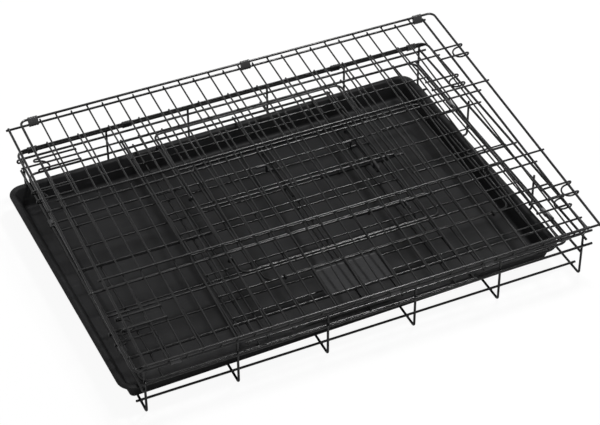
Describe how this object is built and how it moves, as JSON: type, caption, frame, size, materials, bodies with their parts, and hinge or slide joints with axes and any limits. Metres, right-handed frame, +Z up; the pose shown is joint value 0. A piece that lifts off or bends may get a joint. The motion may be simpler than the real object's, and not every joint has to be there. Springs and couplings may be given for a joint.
{
  "type": "folding wire pet crate",
  "caption": "Folding wire pet crate shown packed flat: wire base, hinged sides, ends and roof, latched doors and a slide-out plastic tray.",
  "frame": {"origin": "middle of the bounding box in X and Y, on the ground plane the base wires stand on", "axes": "+X along the crate to its right end, +Y from the near long side to the far one, +Z up"},
  "size_m": [0.6342, 0.4522, 0.1188],
  "materials": {
    "wire": "semi-gloss black coating",
    "sleeves": "semi-gloss black coating over crimped strip",
    "bolts": "semi-gloss black coating",
    "plate": "satin dark grey",
    "tray_plastic": "black, finely grained"
  },
  "bodies": {
    "base": {"floor_cross_wires": "wire", "floor_long_wires": "wire", "near_uprights": "wire", "far_uprights": "wire", "right_uprights": "wire", "near_rim_rod": "wire", "far_rim_rod": "wire", "right_rim_rod": "wire", "near_lower_rod": "wire", "far_lower_rod": "wire", "left_hinge_rod": "wire", "right_hinge_rod": "wire", "near_hinge_clips": "sleeves", "far_hinge_clips": "sleeves", "left_hinge_clips": "sleeves", "right_hinge_clips": "sleeves"},
    "tray": {"tray": "tray_plastic"},
    "near_side": {"near_side_panel": "wire", "roof_hinge_clips": "sleeves"},
    "roof": {"roof_panel": "wire", "roof_hooks": "wire"},
    "far_side": {"far_side_panel": "wire", "far_side_hooks": "wire", "blank_plate": "plate"},
    "side_door": {"side_door": "wire"},
    "side_door_upper_bolt": {"side_door_upper_bolt": "bolts"},
    "side_door_lower_bolt": {"side_door_lower_bolt": "bolts"},
    "right_end": {"right_end_panel": "wire", "tray_stop": "wire"},
    "end_door": {"end_door": "wire"},
    "end_door_upper_bolt": {"end_door_upper_bolt": "bolts"},
    "end_door_lower_bolt": {"end_door_lower_bolt": "bolts"},
    "left_end": {"left_end_panel": "wire"}
  },
  "joints": [
    {"name": "tray_slide", "type": "slide", "parent": "base", "child": "tray", "axis": [-0.9998, -0.0209, 0], "range_m": [0, 0.45]},
    {"name": "near_side_hinge", "type": "hinge", "parent": "base", "child": "near_side", "pos_m": [0.00253, -0.22335, 0.0711], "axis": [1, 0, 0], "range_deg": [0, 85]},
    {"name": "roof_hinge", "type": "hinge", "parent": "near_side", "child": "roof", "pos_m": [0.00253, 0.22304, 0.11598], "axis": [-1, 0, 0], "range_deg": [0, 270]},
    {"name": "far_side_hinge", "type": "hinge", "parent": "base", "child": "far_side", "pos_m": [0.00253, 0.22145, 0.0709], "axis": [-1, 0, 0], "range_deg": [0, 0.1]},
    {"name": "side_door_hinge", "type": "hinge", "parent": "far_side", "child": "side_door", "pos_m": [-0.12332, 0.03446, 0.07125], "axis": [0, -0.9999, -0.0115], "range_deg": [0, 0.6]},
    {"name": "side_door_upper_bolt_slide", "type": "slide", "parent": "side_door", "child": "side_door_upper_bolt", "axis": [-1, 0, 0], "range_m": [0, 0.018]},
    {"name": "side_door_lower_bolt_slide", "type": "slide", "parent": "side_door", "child": "side_door_lower_bolt", "axis": [-1, 0, 0], "range_m": [0, 0.018]},
    {"name": "right_end_hinge", "type": "hinge", "parent": "base", "child": "right_end", "pos_m": [0.27703, 0.00145, 0.05], "axis": [0, 1, 0], "range_deg": [0, 1.2]},
    {"name": "end_door_hinge", "type": "hinge", "parent": "right_end", "child": "end_door", "pos_m": [0.07604, -0.12455, 0.0525], "axis": [1, 0, 0], "range_deg": [0, 0.6]},
    {"name": "end_door_upper_bolt_slide", "type": "slide", "parent": "end_door", "child": "end_door_upper_bolt", "axis": [0, -1, 0], "range_m": [0, 0.018]},
    {"name": "end_door_lower_bolt_slide", "type": "slide", "parent": "end_door", "child": "end_door_lower_bolt", "axis": [0, -1, 0], "range_m": [0, 0.018]},
    {"name": "left_end_hinge", "type": "hinge", "parent": "base", "child": "left_end", "pos_m": [-0.28367, 0.00145, 0.0374], "axis": [0, -1, 0], "range_deg": [0, 0.15]}
  ]
}
